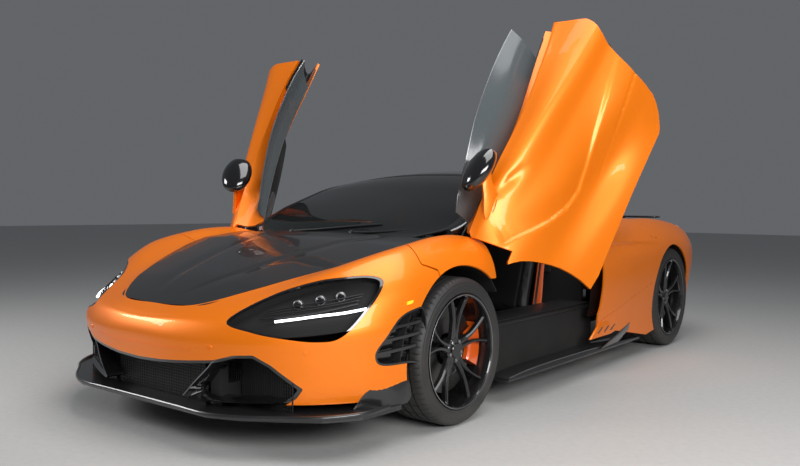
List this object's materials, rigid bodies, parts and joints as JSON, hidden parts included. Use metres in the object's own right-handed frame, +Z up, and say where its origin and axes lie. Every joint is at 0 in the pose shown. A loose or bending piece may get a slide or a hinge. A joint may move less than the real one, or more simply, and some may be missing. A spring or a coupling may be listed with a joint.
{
  "type": "supercar",
  "caption": "Low mid-engined two-seat car with both upward-swinging doors open, a dark teardrop canopy and a wide front splitter.",
  "frame": {"origin": "on the ground, at the middle of the box round the whole car", "axes": "+Z up, -Y the way the car faces, +X the car's left side"},
  "size_m": [2.8116, 4.537, 1.972],
  "materials": {
    "paint": "gloss orange",
    "carbon": "clear-coated black",
    "black_trim": "satin black",
    "glass": "tinted",
    "lamp_glass": "dark lens",
    "tyre": "satin",
    "rim": "satin black",
    "caliper": "gloss orange",
    "metal": "satin",
    "tub": "woven black",
    "leather": "matt black",
    "steel": "brushed"
  },
  "bodies": {
    "body": {"cabin_frame": "black_trim", "dashboard": "leather", "engine": "metal", "exhausts": "steel", "fender_left": "paint", "fender_right": "paint", "grilles": "black_trim", "headlights": "lamp_glass", "luggage_bin": "black_trim", "nose": "paint", "quarter_left": "paint", "quarter_right": "paint", "rear_bumper": "paint", "rear_calipers": "caliper", "rear_deck": "carbon", "rear_glass": "glass", "rear_knuckles": "metal", "rear_wing": "carbon", "roof": "carbon", "seat_pads": "leather", "seat_shells": "carbon", "side_skirts": "carbon", "splitter": "carbon", "steering_wheel": "leather", "subframes": "metal", "suspension_arms": "metal", "tail_lights": "black_trim", "tub": "tub", "underbody": "black_trim", "wheel_liners": "black_trim", "windscreen": "glass"},
    "door_left": {"door_left": "paint", "door_glass_left": "glass", "mirror_left": "carbon"},
    "hub_left": {"knuckle_left": "metal", "caliper_left": "caliper"},
    "wheel_front_left": {"tyre_front_left": "tyre", "rim_front_left": "rim"},
    "wheel_rear_left": {"tyre_rear_left": "tyre", "rim_rear_left": "rim"},
    "door_right": {"door_right": "paint", "door_glass_right": "glass", "mirror_right": "carbon"},
    "hub_right": {"knuckle_right": "metal", "caliper_right": "caliper"},
    "wheel_front_right": {"tyre_front_right": "tyre", "rim_front_right": "rim"},
    "wheel_rear_right": {"tyre_rear_right": "tyre", "rim_rear_right": "rim"},
    "bonnet": {"bonnet": "carbon"}
  },
  "joints": [
    {"name": "door_left", "type": "hinge", "parent": "body", "child": "door_left", "pos_m": [0.628, -0.9465, 0.85], "axis": [0.8641, -0.286, -0.4141], "range_deg": [-61.5, 0]},
    {"name": "door_right", "type": "hinge", "parent": "body", "child": "door_right", "pos_m": [-0.628, -0.9465, 0.85], "axis": [0.8641, 0.286, 0.4141], "range_deg": [-61.5, 0]},
    {"name": "bonnet_lid", "type": "hinge", "parent": "body", "child": "bonnet", "pos_m": [0, -1.118, 0.79], "axis": [-1, 0, 0], "range_deg": [0, 55]},
    {"name": "steer_left", "type": "hinge", "parent": "body", "child": "hub_left", "pos_m": [0.742, -1.2685, 0.327], "axis": [0, 0, 1], "range_deg": [-32, 32]},
    {"name": "steer_right", "type": "hinge", "parent": "body", "child": "hub_right", "pos_m": [-0.742, -1.2685, 0.327], "axis": [0, 0, 1], "range_deg": [-32, 32]},
    {"name": "spin_front_left", "type": "hinge", "parent": "hub_left", "child": "wheel_front_left", "pos_m": [0.832, -1.2685, 0.327], "axis": [1, 0, 0], "continuous": true},
    {"name": "spin_rear_left", "type": "hinge", "parent": "body", "child": "wheel_rear_left", "pos_m": [0.802, 1.4015, 0.3455], "axis": [1, 0, 0], "continuous": true},
    {"name": "spin_front_right", "type": "hinge", "parent": "hub_right", "child": "wheel_front_right", "pos_m": [-0.832, -1.2685, 0.327], "axis": [1, 0, 0], "continuous": true},
    {"name": "spin_rear_right", "type": "hinge", "parent": "body", "child": "wheel_rear_right", "pos_m": [-0.802, 1.4015, 0.3455], "axis": [1, 0, 0], "continuous": true}
  ],
  "couplings": [
    {"joint": "steer_right", "follows": "steer_left", "ratio": 1}
  ]
}
